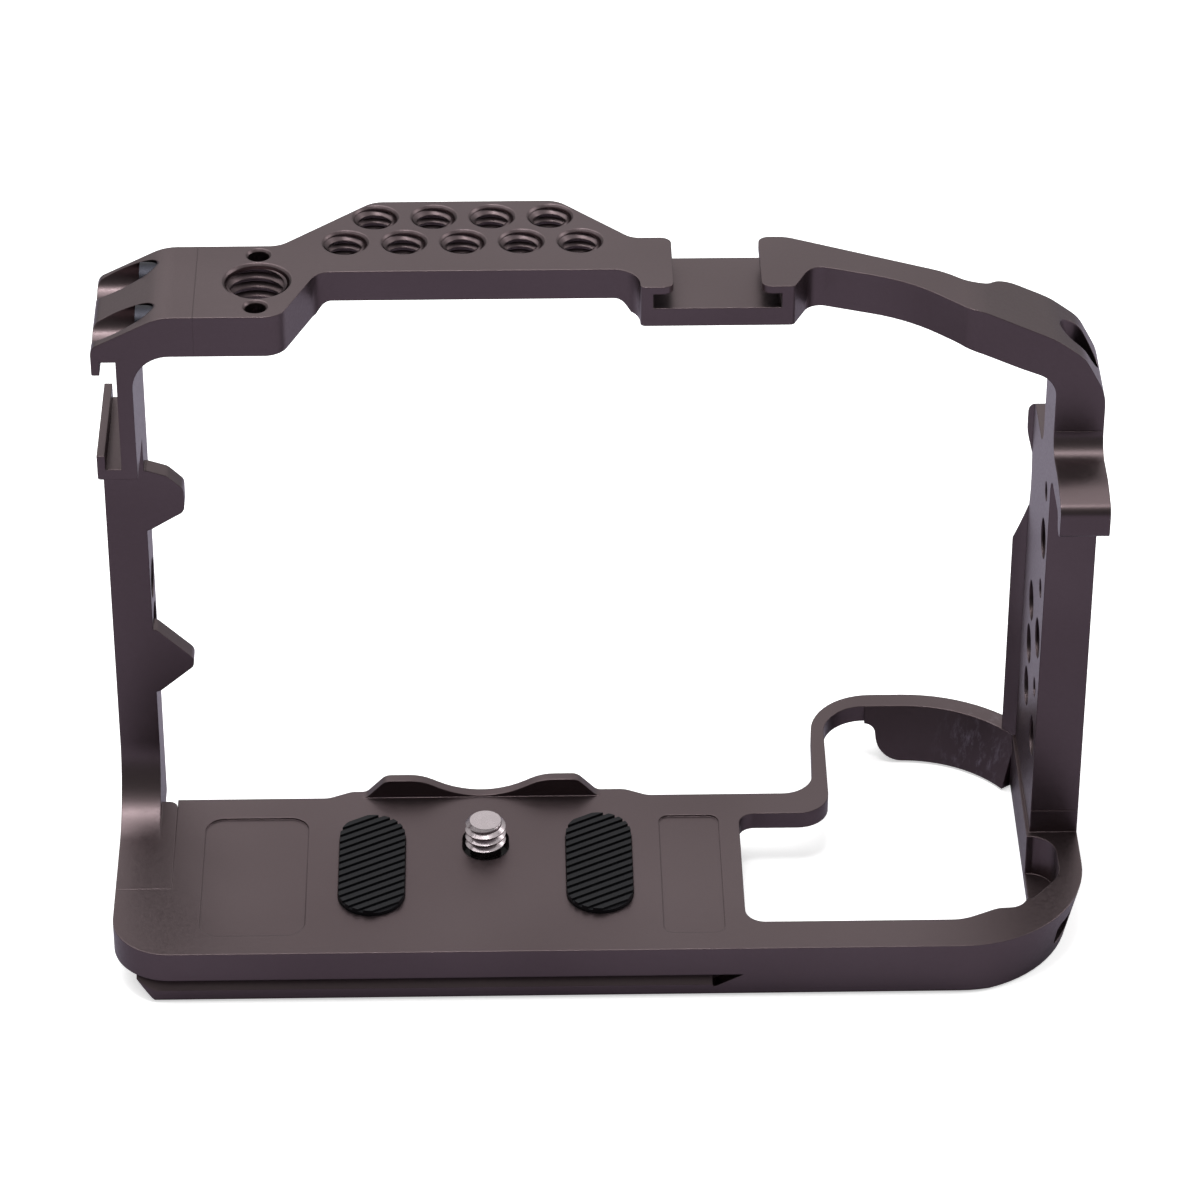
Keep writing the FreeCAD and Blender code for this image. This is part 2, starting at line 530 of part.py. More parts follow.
def right_side_plate():
    body = new_body("right_side_plate")
    outer, first, last = ring_arc(0, 0, 44.5)
    inner, inner_first, inner_last = ring_arc(size("ring_wall"), 36.6, 44.5)
    section = [outer, Part.LineSegment(last, inner_last), inner]
    section += chain(inner_first, [(INNER, inner_first.y), (INNER, REAR), (W, REAR)], first)
    pad(body, draw(new_sketch(body, "XY_Plane", "base_top"), section), "side_seam - base_top")
    # side view: narrow neck, rounded ear in front, step behind the post
    front = size("corner_front")
    profile = rounded_outline([
        (40.0, 8.0), (26.0, 8.0), (26.0, 36.0, 22.0), (19.2, 58.5, 12.0), (21.7, 66.5, 8.0),
        (21.7, 72.6, 2.6), (front, 72.6, 3.0), (front, SEAM_Z + 1), (40.0, SEAM_Z + 1)])
    pocket(body, draw(new_sketch(body, "YZ_Plane", "half_width + 1"), profile), "half_width")
    step = rounded_outline([(REAR - 1, 8.0), (RING_Y, 8.0), (RING_Y, BASE_TOP + size("post_height")),
                            (REAR - 1, BASE_TOP + size("post_height"))])
    pocket(body, draw(new_sketch(body, "YZ_Plane", "half_width + 1"), step), "half_width")
    # thumb rest
    tip = REAR - size("rest_reach")
    rest = rounded_outline([
        (REAR + 1, SEAM_Z), (REAR, SEAM_Z), (REAR, 79.8, 3.2), (-13.0, 79.9, 12.0), (tip, 78.4, 1.8),
        (tip, 73.3, 1.2), (tip + 2.8, 73.3, 1.0), (tip + 3.6, 75.8, 1.5), (REAR, 75.4, 3.0), (REAR, 70.0),
        (REAR + 1, 70.0)])
    pad(body, draw(new_sketch(body, "YZ_Plane", "side_inner"), rest), "half_width - side_inner")
    # mounting holes through the plate
    holes = [circle(y, z, QUARTER) for y, z in SIDE_HOLES]
    pocket(body, draw(new_sketch(body, "YZ_Plane", "half_width + 1"), *holes), "through")
    pins = [circle(y, z, size("locating_hole")) for y, z in SIDE_PINS]
    pocket(body, draw(new_sketch(body, "YZ_Plane", "half_width + 1"), *pins), "through")
    # tapped holes at both ends and the dowel hole
    x, y = CORNER_SCREW
    top_tap = circle(x, y, size("tap_hole"))
    pocket(body, draw(new_sketch(body, "XY_Plane", "side_seam"), top_tap), "corner_tap")
    dowel = draw(new_sketch(body, "XY_Plane", "side_seam"), circle(*CORNER_DOWEL, size("dowel")))
    pocket(body, dowel, "dowel_length / 2")
    taps = [circle(x, y, size("tap_hole")) for x, y in POST_SCREWS]
    tapped = draw(new_sketch(body, "XY_Plane", "base_top + post_height"), *taps)
    pocket(body, tapped, "post_tap", reverse=True)
    return body


# Rubber pads with slanting ribs, and the adhesive film under each

def rubber_pad(name, x):
    body = new_body(name)
    y = size("pad_y")
    width = size("pad_width")
    length = size("pad_length")
    outline = slot_outline(x, y, width, length)
    base = "base_top - pad_seat + adhesive"
    pad(body, draw(new_sketch(body, "XY_Plane", base), outline), "pad_seat + pad_proud - adhesive")
    pitch = size("rib_pitch")
    rise = math.tan(math.radians(32)) * width
    strips = []
    count = int((length + rise) / pitch) + 1
    for i in range(count):
        low = y - length / 2 - rise + 0.6 + i * pitch
        gap = pitch * 0.42
        reach = width / 2 + 0.5
        high = low + rise
        strips.append(rounded_outline([(x - reach, low), (x + reach, high), (x + reach, high + gap),
                                       (x - reach, low + gap)]))
    pocket(body, draw(new_sketch(body, "XY_Plane", "base_top + pad_proud"), *strips), "rib_depth")
    return body


def adhesive_film(name, x):
    body = new_body(name)
    outline = slot_outline(x, size("pad_y"), size("pad_width") - 0.4, size("pad_length") - 0.4)
    pad(body, draw(new_sketch(body, "XY_Plane", "base_top - pad_seat"), outline), "adhesive")
    return body


# Round parts on the camera screw's axis

def disc(name, diameter, hole, bottom, height):
    body = new_body(name)
    sketch = draw(new_sketch(body, "XY_Plane", bottom), circle(SCREW_X, SCREW_Y, size(diameter)),
                  circle(SCREW_X, SCREW_Y, size(hole)))
    pad(body, sketch, height)
    return body


def camera_screw():
    body = new_body("camera_screw")
    low = size("head_bottom")
    shoulder = low + size("head_height")
    tip = BASE_TOP + size("screw_proud")
    thread = tip - size("thread_length")
    r = QUARTER / 2 - 0.05
    head = size("head") / 2
    neck = size("neck") / 2
    half = rounded_outline([
        (0, low), (head, low, 0.4), (head, shoulder, 0.4), (neck, shoulder), (neck, thread - 0.6),
        (r, thread), (r, tip - 0.7), (r - 0.7, tip), (0, tip)])
    sketch = draw(new_sketch(body, "XZ_Plane"), half)
    turn = body.newObject("PartDesign::Revolution", "screw_turn")
    turn.Profile = sketch
    turn.ReferenceAxis = (sketch, ["V_Axis"])
    turn.Angle = 360
    doc.recompute()
    # coin slot across the head
    a = head + 1
    b = size("coin_slot") / 2
    coin = rounded_outline([(-a, -b), (a, -b), (a, b), (-a, b)])
    pocket(body, draw(new_sketch(body, "XY_Plane"), coin), "head_bottom + coin_slot_depth", reverse=True)
    body.Placement.Base = V(SCREW_X, SCREW_Y, 0)
    return body


def snap_ring():
    body = new_body("retainer_snap_ring")
    outer = size("ring_outside") - 0.1
    inner = size("ring_inside")
    sketch = draw(new_sketch(body, "XY_Plane", "retainer_bottom - ring_height - 0.05"),
                  slot_outline(SCREW_X, SCREW_Y, outer, outer + RECESS_TRAVEL),
                  slot_outline(SCREW_X, SCREW_Y, inner, inner + RECESS_TRAVEL))
    pad(body, sketch, "ring_height")
    left = SCREW_X - 1.5
    right = SCREW_X + 1.5
    far = SCREW_Y + 12
    gap = rounded_outline([(left, SCREW_Y), (right, SCREW_Y), (right, far), (left, far)])
    pocket(body, draw(new_sketch(body, "XY_Plane", "retainer_bottom"), gap), "ring_height + 0.2")
    return body


def primitive(kind, name, **sizes):
    """A Part primitive whose sizes are formulas of the sheet."""
    shape = doc.addObject("Part::" + kind, name)
    for key, formula in sizes.items():
        shape.setExpression(key, cell(formula))
    return shape


def cap_screw(name, seat, length, towards):
    """Socket head cap screw: the seat is the point under its head, and the thread points along towards."""
    head = primitive("Cylinder", name + "_head", Radius="cap_head / 2", Height="cap_height")
    shank = primitive("Cylinder", name + "_shank", Radius="cap_shank / 2")
    shank.Height = length + 0.5
    shank.Placement.Base = V(0, 0, -length)
    blank = doc.addObject("Part::Fuse", name + "_blank")
    blank.Base, blank.Tool = head, shank
    socket = primitive("Prism", name + "_socket", Circumradius="hex_socket / 1.732",
                       Height="socket_depth + 1")
    socket.Polygon = 6
    socket.Placement.Base = V(0, 0, size("cap_height") - size("socket_depth"))
    screw = doc.addObject("Part::Cut", name)
    screw.Base, screw.Tool = blank, socket
    screw.Label = name
    screw.Placement = FreeCAD.Placement(V(*seat), FreeCAD.Rotation(V(0, 0, -1), V(*towards)))
    return screw


def dowel_pin(name, x, y):
    pin = primitive("Cylinder", name, Radius="dowel / 2 - 0.01", Height="dowel_length - 0.2")
    pin.Label = name
    pin.Placement.Base = V(x, y, SEAM_Z - size("dowel_length") / 2 + 0.1)
    return pin


pieces = [base_plate(), top_plate(), left_arm(), right_side_plate()]
for side, k in (("left", -1), ("right", 1)):
    x = SCREW_X + k * size("pad_offset")
    pieces.append(rubber_pad("rubber_pad_" + side, x))
    pieces.append(adhesive_film("pad_adhesive_" + side, x))
pieces.append(camera_screw())
pieces.append(disc("screw_retainer", "retainer", "retainer_hole", "retainer_bottom", "retainer_height"))
washer_low = "retainer_bottom - washer_height"
pieces.append(disc("thrust_washer", "washer", "retainer_hole", washer_low, "washer_height"))
pieces.append(snap_ring())
arm_seat = size("arm_seam") - 5.5
for place, y in zip(("rear", "front"), TOP_SCREWS_Y):
    pieces.append(cap_screw("top_left_screw_" + place, (arm_seat, y, TOP_SCREW_Z), 11.0, (1, 0, 0)))
bore_seat = size("cap_height") + 0.3
for place, (x, y) in zip(("rear", "front"), FOOT_SCREWS):
    pieces.append(cap_screw("foot_screw_" + place, (x, y, bore_seat), 5.0, (0, 0, 1)))
for place, (x, y) in zip(("rear", "front"), POST_SCREWS):
    pieces.append(cap_screw("post_screw_" + place, (x, y, bore_seat), 16.0, (0, 0, 1)))
pieces.append(cap_screw("corner_screw", (*CORNER_SCREW, size("corner_seat")), 12.0, (0, 0, -1)))
pieces.append(dowel_pin("corner_dowel", *CORNER_DOWEL))
doc.recompute()

# Checks, then the files
for thing in doc.Objects:
    if "Invalid" in thing.State or "Error" in thing.State:
        raise RuntimeError("%s: %s" % (thing.Name, thing.State))
os.makedirs("parts", exist_ok=True)
for piece in pieces:
    shape = piece.Shape
    if shape.isNull() or not shape.isValid() or not shape.Solids:
        raise RuntimeError("%s has no valid solid" % piece.Label)
    shape.exportStep("parts/%s.step" % piece.Label)
    box = shape.BoundBox
    ends = (box.XMin, box.XMax, box.YMin, box.YMax, box.ZMin, box.ZMax)
    print("%-22s %d solids %9.1f mm3" % (piece.Label, len(shape.Solids), shape.Volume),
          "x %.2f %.2f  y %.2f %.2f  z %.2f %.2f" % ends)
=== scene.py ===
"""Looks of the camera cage: anodised aluminium, cut threads, rubber pads and a white studio."""

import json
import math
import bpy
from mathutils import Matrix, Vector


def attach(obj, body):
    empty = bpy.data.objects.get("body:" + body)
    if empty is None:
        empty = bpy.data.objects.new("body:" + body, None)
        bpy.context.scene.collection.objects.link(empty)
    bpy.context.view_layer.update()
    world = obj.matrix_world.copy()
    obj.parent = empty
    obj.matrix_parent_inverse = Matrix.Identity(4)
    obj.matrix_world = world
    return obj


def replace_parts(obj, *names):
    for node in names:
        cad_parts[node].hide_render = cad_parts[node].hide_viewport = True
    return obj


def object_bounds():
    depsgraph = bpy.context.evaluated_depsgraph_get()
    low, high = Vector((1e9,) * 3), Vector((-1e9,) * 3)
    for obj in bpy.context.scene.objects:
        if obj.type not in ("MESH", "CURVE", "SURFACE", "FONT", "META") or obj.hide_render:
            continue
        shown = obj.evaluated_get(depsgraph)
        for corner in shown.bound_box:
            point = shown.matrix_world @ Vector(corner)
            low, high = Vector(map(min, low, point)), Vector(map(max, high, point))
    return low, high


bl_info = {
    "name": "Camera cage looks",
    "version": (1, 0, 0),
    "blender": (4, 5, 0),
    "location": "View3D > Sidebar > Cage",
    "description": "Adds the surface detail and the studio of a camera cage",
    "category": "Object",
}

import bmesh
import bpy
from mathutils import Matrix, Vector

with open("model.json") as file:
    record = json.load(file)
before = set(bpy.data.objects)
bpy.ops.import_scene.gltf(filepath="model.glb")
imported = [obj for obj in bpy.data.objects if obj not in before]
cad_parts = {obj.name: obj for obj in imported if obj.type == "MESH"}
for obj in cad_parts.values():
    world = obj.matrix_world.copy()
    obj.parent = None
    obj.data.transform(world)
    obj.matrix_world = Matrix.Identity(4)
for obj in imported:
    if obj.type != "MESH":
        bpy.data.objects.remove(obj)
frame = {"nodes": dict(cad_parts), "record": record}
CAD_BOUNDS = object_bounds()

MM = 0.001
MOUNTS = {mount["name"]: mount for mount in frame["record"]["mounts"]}

# Faces that meet at less than these angles are shaded as one surface
SHARP = math.radians(28)
THREAD_SHARP = math.radians(25)

# Pitches in mm of the 1/4-20 and the 3/8-16 thread
QUARTER_PITCH = 1.27
THREE_EIGHTHS_PITCH = 1.5875
# The four corners of a thread's ridge, as fractions of the pitch, in a hole and on the screw
HOLE_RIDGE = (0.02, 0.42, 0.56, 0.98)
SCREW_RIDGE = (0.06, 0.43, 0.57, 0.94)
# How far the foot of a ridge is sunk into what carries it, in mm
HOLE_SUNK = 0.03
SCREW_SUNK = 0.05
# Height of a ridge in a hole, as a fraction of the pitch
RIDGE_DEPTH = 0.5
# Steps of a helix in one turn
HOLE_STEPS = 44
SCREW_STEPS = 64

# Where the ridges start and end along their holes, in mm and clear of the chamfers
TOP_END = CAD_BOUNDS[1].z / MM - 0.38
SIDE_END = 73.0
UNDERSIDE = (0.3, 6.4)
# Runs of threads: their piece, how the names of their mounts start, the pitch, the start and the end
THREADS = (
    ("top_plate_threads", ("bar_",), QUARTER_PITCH, 99.35, TOP_END),
    ("top_plate_threads", ("three_eighths",), THREE_EIGHTHS_PITCH, 97.7, TOP_END),
    ("side_threads", ("side_hole_1", "side_hole_2", "side_hole_3"), QUARTER_PITCH, 67.2, SIDE_END),
    ("side_threads", ("side_hole_4", "side_hole_5", "side_hole_6"), QUARTER_PITCH, 68.6, SIDE_END),
    ("side_threads", ("arm_hole",), QUARTER_PITCH, -73.8, -68.4),
    ("underside_threads", ("tripod_quarter",), QUARTER_PITCH, *UNDERSIDE),
    ("underside_threads", ("tripod_three_eighths",), THREE_EIGHTHS_PITCH, *UNDERSIDE),
)

# Camera screw, as radii and heights in mm
SCREW_CORE = 2.5
SCREW_CREST = 3.12
SCREW_TIP = 13.45
SCREW_TIP_FLAT = 2.45
CORE_START = 8.4
RIDGE_START = 9.1
RIDGE_END = SCREW_TIP - 0.02

# Middle and reach in mm of the tool marks inside the grip ring
MARKS_AT = (61.5, 24.5, 4.0)
MARKS_REACH = 9.5

# Studio, in metres: the paper, and the place and side of each square lamp
FLOOR_REACH = 3.0
FLOOR_HEIGHT = -0.4 * MM
LAMP_TARGET = Vector((0, 0, 0.05))
LAMPS = {
    "key": ((-0.35, 0.25, 1.05), 0.9),
    "fill": ((1.0, 0.15, 0.55), 0.7),
    "edge": ((-0.05, -0.12, 1.15), 0.22),
}
# Direction of the brightest part of the studio, from the cage
SKY_TOWARDS = (0, 0.5, 0.87)
# Camera of the photo, solved from the cage's parallel edges: its place, its right and its up
PHOTO_FROM = (-0.0138, -0.6415, 0.4938)
PHOTO_RIGHT = Vector((0.99978, -0.0207, 0.0016))
PHOTO_UP = Vector((0.0104, 0.5681, 0.8229))
SENSOR_MM = 36


# Colours and nodes

def linear(colour):
    """The scene-linear colour of a hex colour as seen on a screen."""
    values = [int(colour[i:i + 2], 16) / 255 for i in (0, 2, 4)]
    return tuple(v / 12.92 if v <= 0.04045 else ((v + 0.055) / 1.055) ** 2.4 for v in values) + (1.0,)


def add(tree, kind, **inputs):
    """Adds a node. A keyword names a property, or else an input socket: its name with underscores
    for spaces, or its number after an underscore. A socket as a value is linked."""
    node = tree.nodes.new("ShaderNode" + kind)
    for key, value in inputs.items():
        if hasattr(node, key):
            setattr(node, key, value)
            continue
        socket = node.inputs[int(key[1:])] if key[1:].isdigit() else node.inputs[key.replace("_", " ")]
        if isinstance(value, bpy.types.NodeSocket):
            tree.links.new(value, socket)
        else:
            socket.default_value = value
    return node


def new_material(name, **constants):
    """A material with one Principled shader whose constants sit on its own sockets."""
    material = bpy.data.materials.new(name)
    material.use_nodes = True
    shader = material.node_tree.nodes["Principled BSDF"]
    for key, value in constants.items():
        shader.inputs[key.replace("_", " ")].default_value = value
    return material, material.node_tree, shader


def object_point(tree, scale=(1, 1, 1)):
    """Object coordinates, scaled: less than 1 stretches a pattern along that axis."""
    here = add(tree, "TexCoord")
    return add(tree, "Mapping", Vector=here.outputs["Object"], Scale=scale).outputs["Vector"]


def per_mm(size):
    """Scale of a pattern whose features are about this many millimetres."""
    return 1 / (size * MM)


# Materials

def anodised(settings):
    """Bead-blasted 6061 aluminium, anodised titanium brown: satin, with fine grain and faint lines."""
    material, tree, shader = new_material("Bead-blasted anodised aluminium", Metallic=1.0)
    # grain of the blasting, which makes the highlights soft and slightly sandy; the real one is near
    # 0.1 mm and wouldn't show, so it is drawn at 0.45 mm
    grain = add(tree, "TexNoise", Vector=object_point(tree), Scale=per_mm(0.45), Detail=3.0,
                Roughness=0.6)
    # milling lines along the width, 0.8 mm apart and 40 mm long, that survive under the blasting
    lines = add(tree, "TexNoise", Vector=object_point(tree, (0.02, 1, 1)), Scale=per_mm(0.8),
                Detail=2.0)
    # slow change of the dye over a few centimetres
    cloud = add(tree, "TexNoise", Vector=object_point(tree), Scale=per_mm(30.0), Detail=1.0)
    dye = add(tree, "ValToRGB", Fac=cloud.outputs["Fac"])
    stops = ((0.3, settings.dye_dark), (0.7, settings.dye_light))
    for element, (position, colour) in zip(dye.color_ramp.elements, stops):
        element.position = position
        element.color = linear(colour)
    # lighter tool marks where the cutter ran out, on the inside of the grip ring at the right:
    # streaks 1.4 mm wide and 4 mm high that fade out round one point
    scatter = add(tree, "TexNoise", Vector=object_point(tree, (1, 1, 0.35)), Scale=per_mm(1.4),
                  Detail=5.0, Roughness=0.75)
    streaks = add(tree, "MapRange", Value=scatter.outputs["Fac"], From_Min=0.5, From_Max=0.72)
    away = add(tree, "VectorMath", operation="DISTANCE", _0=object_point(tree),
               _1=[value * MM for value in MARKS_AT])
    near = add(tree, "MapRange", Value=away.outputs["Value"], interpolation_type="SMOOTHSTEP",
               From_Min=MARKS_REACH * MM, From_Max=0.0)
    marks = add(tree, "Math", operation="MULTIPLY", _0=streaks.outputs["Result"],
                _1=near.outputs["Result"])
    worn = add(tree, "Mix", data_type="RGBA", _0=marks.outputs[0], _6=dye.outputs["Color"],
               _7=linear(settings.bare))
    tree.links.new(worn.outputs[2], shader.inputs["Base Color"])
    rough = add(tree, "MapRange", Value=grain.outputs["Fac"], From_Min=0.3, From_Max=0.7,
                To_Min=settings.roughness - 0.04, To_Max=settings.roughness + 0.05)
    tree.links.new(rough.outputs["Result"], shader.inputs["Roughness"])
    # broken edges, which show as thin bright lines
    edge = add(tree, "Bevel", samples=6, Radius=settings.edge)
    low = add(tree, "Bump", Height=lines.outputs["Fac"], Strength=0.10, Distance=0.02 * MM,
              Normal=edge.outputs["Normal"])
    high = add(tree, "Bump", Height=grain.outputs["Fac"], Strength=0.22, Distance=0.03 * MM,
               Normal=low.outputs["Normal"])
    tree.links.new(high.outputs["Normal"], shader.inputs["Normal"])
    return material


def rubber(settings):
    """Moulded rubber: near black with a blue cast, dull, with ribs that end in soft edges."""
    material, tree, shader = new_material("Moulded rubber", Base_Color=linear("0b0b10"),
                                          Roughness=0.6, Specular_IOR_Level=0.25)
    # skin of the mould, 0.25 mm, which breaks up the sheen
    skin = add(tree, "TexNoise", Vector=object_point(tree), Scale=per_mm(0.25), Detail=2.0)
    edge = add(tree, "Bevel", samples=6, Radius=settings.pad_edge)
    bump = add(tree, "Bump", Height=skin.outputs["Fac"], Strength=0.25, Distance=0.02 * MM,
               Normal=edge.outputs["Normal"])
    tree.links.new(bump.outputs["Normal"], shader.inputs["Normal"])
    return material


def stainless(settings):
    """Turned stainless steel: bright, with fine turning lines that stretch the reflections."""
    material, tree, shader = new_material("Turned stainless steel", Base_Color=linear("c8bdc0"),
                                          Metallic=1.0)
    # turning lines 0.2 mm apart, each about 1.2 mm long
    turned = add(tree, "TexNoise", Vector=object_point(tree, (1, 1, 6)), Scale=per_mm(1.2),
                 Detail=3.0)
    rough = add(tree, "MapRange", Value=turned.outputs["Fac"], From_Min=0.3, From_Max=0.7,
                To_Min=0.2, To_Max=0.32)
    tree.links.new(rough.outputs["Result"], shader.inputs["Roughness"])
    bump = add(tree, "Bump", Height=turned.outputs["Fac"], Strength=0.12, Distance=0.02 * MM)
    tree.links.new(bump.outputs["Normal"], shader.inputs["Normal"])
    return material


def black_oxide(settings):
    """Steel screws with black oxide: dark, with a dim metallic sheen."""
    material, tree, shader = new_material("Black oxide steel", Base_Color=linear("34343a"),
                                          Metallic=1.0)
    # wear of the coat in spots of 1.5 mm, which makes the sheen uneven
    worn = add(tree, "TexNoise", Vector=object_point(tree), Scale=per_mm(1.5), Detail=2.0)
    rough = add(tree, "MapRange", Value=worn.outputs["Fac"], To_Min=0.35, To_Max=0.55)
    tree.links.new(rough.outputs["Result"], shader.inputs["Roughness"])
    return material


def bumpy(name, colour, roughness, size, detail, strength):
    """A plain material, uneven in spots of a size in mm."""
    material, tree, shader = new_material(name, Base_Color=linear(colour), Roughness=roughness)
    spots = add(tree, "TexNoise", Vector=object_point(tree), Scale=per_mm(size), Detail=detail)
    bump = add(tree, "Bump", Height=spots.outputs["Fac"], Strength=strength, Distance=0.02 * MM)
    tree.links.new(bump.outputs["Normal"], shader.inputs["Normal"])
    return material


def nylon(settings):
    """Black machined nylon: dull and slightly mottled."""
    return bumpy("Black nylon", "1b1b1c", 0.55, size=0.9, detail=2.0, strength=0.15)


def film(settings):
    """Adhesive film: pale, with a soft shine over slow waves."""
    return bumpy("Adhesive film", "c9c8c0", 0.4, size=2.0, detail=1.0, strength=0.1)


FINISHES = {
    "anodised_aluminium": anodised, "black_rubber": rubber, "stainless_steel": stainless,
    "black_steel": black_oxide, "black_nylon": nylon, "adhesive_film": film,
}
made = {}


def finish_of(slot, context):
    """The material of a slot, made once."""
    if slot not in made:
        made[slot] = FINISHES[slot](context.scene.cage_finish)
    return made[slot]


# Meshes

def new_object(name, bm, material):
    """Turns a bmesh into an object at the origin."""
    mesh = bpy.data.meshes.new(name)
    bm.to_mesh(mesh)
    bm.free()
    mesh.materials.append(material)
    thing = bpy.data.objects.new(name, mesh)
    bpy.context.scene.collection.objects.link(thing)
    return thing


def new_piece(name, bm, body, slot, context):
    """A piece that rides on a body and takes its finish from a slot."""
    piece = new_object(name, bm, finish_of(slot, context))
    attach(piece, body)
    return piece


def merged_copy(node):
    """The mesh of a CAD node with its seams closed."""
    bm = bmesh.new()
    bm.from_mesh(frame["nodes"][node].data)
    bmesh.ops.remove_doubles(bm, verts=bm.verts, dist=0.001 * MM)
    bmesh.ops.dissolve_degenerate(bm, edges=bm.edges, dist=0.001 * MM)
    return bm


def smooth(bm, angle):
    """Smooth faces, sharp along the edges that turn by more than the angle."""
    for face in bm.faces:
        face.smooth = True
    for edge in bm.edges:
        edge.smooth = not edge.is_manifold or edge.calc_face_angle(0) < angle


def ridge(foot, crest, pitch, parts):
    """Half section of a thread's ridge, as (radius, height) in mm from foot to foot."""
    return [(radius, part * pitch) for radius, part in zip((foot, crest, crest, foot), parts)]


def helix(section, pitch, low, high, steps):
    """A half section swept round Z and cut off flat at two heights in mm."""
    bm = bmesh.new()
    # one turn too many at each end, for the cuts
    start = low - pitch
    count = round(((high - low) / pitch + 2) * steps)
    corners = [bm.verts.new((radius * MM, 0, (start + z) * MM)) for radius, z in section]
    edges = [bm.edges.new(pair) for pair in zip(corners, corners[1:])]
    bmesh.ops.spin(bm, geom=corners + edges, cent=(0, 0, 0), axis=(0, 0, 1),
                   dvec=(0, 0, pitch * MM / steps), angle=math.tau * count / steps, steps=count)
    for level, up in ((low, -1), (high, 1)):
        bmesh.ops.bisect_plane(bm, geom=bm.verts[:] + bm.edges[:] + bm.faces[:],
                               plane_co=(0, 0, level * MM), plane_no=(0, 0, up), clear_outer=True)
    bmesh.ops.recalc_face_normals(bm, faces=bm.faces)
    smooth(bm, THREAD_SHARP)
    return bm


def inner_thread(radius, pitch, low, high):
    """The ridge of a thread that is cut into a wall of this radius, facing the hole's axis."""
    section = ridge(radius + HOLE_SUNK, radius - RIDGE_DEPTH * pitch, pitch, HOLE_RIDGE)
    bm = helix(section, pitch, low, high, HOLE_STEPS)
    outward = [f for f in bm.faces if f.normal.dot(f.calc_center_median().xy.to_3d()) > 0]
    bmesh.ops.reverse_faces(bm, faces=outward)
    return bm


def onto_axis(mount):
    """Turns the Z axis into the axis of a mount along Z or X; distances along it stay as they are."""
    place = Vector(mount["pos_m"])
    if mount["axis"][0]:
        place.x = 0
        return Matrix.Translation(place) @ Matrix.Rotation(math.radians(90), 4, "Y")
    place.z = 0
    return Matrix.Translation(place)


def join(target, source, matrix):
    """Moves a bmesh and joins it to another."""
    bmesh.ops.transform(source, matrix=matrix, verts=source.verts)
    mesh = bpy.data.meshes.new("part")
    source.to_mesh(mesh)
    source.free()
    target.from_mesh(mesh)
    bpy.data.meshes.remove(mesh)


def keep_within(vert, radius):
    """Pulls a vertex in towards Z where it stands outside a radius."""
    reach = vert.co.xy.length
    if reach > radius:
        vert.co.xy *= radius / reach


def stand_in(node, name, body, slot, context):
    """A piece that shows a CAD node smooth, so that its material can round the edges."""
    bm = merged_copy(node)
    smooth(bm, SHARP)
    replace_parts(new_piece(name, bm, body, slot, context), node)


# Settings

class CageFinish(bpy.types.PropertyGroup):
    """Colours and surface of the cage"""
    dye_dark: bpy.props.StringProperty(
        name="Darker dye", description="Hex colour of the anodising at its densest",
        default="5e5254")
    dye_light: bpy.props.StringProperty(
        name="Lighter dye", description="Hex colour of the anodising where it is thinner",
        default="665a5c")
    bare: bpy.props.StringProperty(
        name="Tool marks", description="Hex colour of the metal in the tool marks",
        default="948b93")
    roughness: bpy.props.FloatProperty(
        name="Roughness", description="Roughness of the blasted surface",
        default=0.36, min=0, max=1)
    edge: bpy.props.FloatProperty(
        name="Edge round", description="Radius of the broken edges",
        default=0.25 * MM, min=0, unit="LENGTH")
    pad_edge: bpy.props.FloatProperty(
        name="Pad edge", description="Radius of the edges of the pads and their ribs",
        default=0.1 * MM, min=0, unit="LENGTH")


class CageStage(bpy.types.PropertyGroup):
    """Lamps, surroundings and lens of the studio"""
    key: bpy.props.FloatProperty(
        name="Key power", description="Power of the key lamp",
        default=6.5, unit="POWER")
    fill: bpy.props.FloatProperty(
        name="Fill power", description="Power of the fill lamp",
        default=4.0, unit="POWER")
    edge: bpy.props.FloatProperty(
        name="Edge power", description="Power of the lamp that draws the edges",
        default=3.5, unit="POWER")
    sky: bpy.props.FloatProperty(
        name="Surroundings", description="Brightness of the white studio overhead",
        default=0.84, min=0)
    lens: bpy.props.FloatProperty(
        name="Lens", description="Focal length of the camera",
        default=154.5, unit="CAMERA")


# Operators, one for each group of pieces

class CAGE_OT_finishes(bpy.types.Operator):
    """Give every CAD piece the finish of its slot"""
    bl_idname = "cage.finishes"
    bl_label = "Finishes"

    def execute(self, context):
        for part in frame["record"]["subparts"]:
            node = frame["nodes"][part["node"]]
            node.data.materials.clear()
            node.data.materials.append(finish_of(part["material_slot"], context))
        return {"FINISHED"}


class CAGE_OT_plates(bpy.types.Operator):
    """Show the four aluminium pieces smooth, with their broken edges"""
    bl_idname = "cage.plates"
    bl_label = "Aluminium pieces"

    def execute(self, context):
        for node in ("base_plate", "top_plate", "left_arm", "right_side_plate"):
            stand_in(node, node + "_milled", "frame", "anodised_aluminium", context)
        return {"FINISHED"}


class CAGE_OT_threads(bpy.types.Operator):
    """Cut the threads of the mounting holes"""
    bl_idname = "cage.threads"
    bl_label = "Threaded holes"

    def execute(self, context):
        pieces = {}
        for name, starts, pitch, low, high in THREADS:
            if name not in pieces:
                pieces[name] = bmesh.new()
            for mount in MOUNTS.values():
                if mount["name"].startswith(starts):
                    thread = inner_thread(mount["dims"]["r_mm"], pitch, low, high)
                    join(pieces[name], thread, onto_axis(mount))
        for name, bm in pieces.items():
            new_piece(name, bm, "frame", "anodised_aluminium", context)
        return {"FINISHED"}


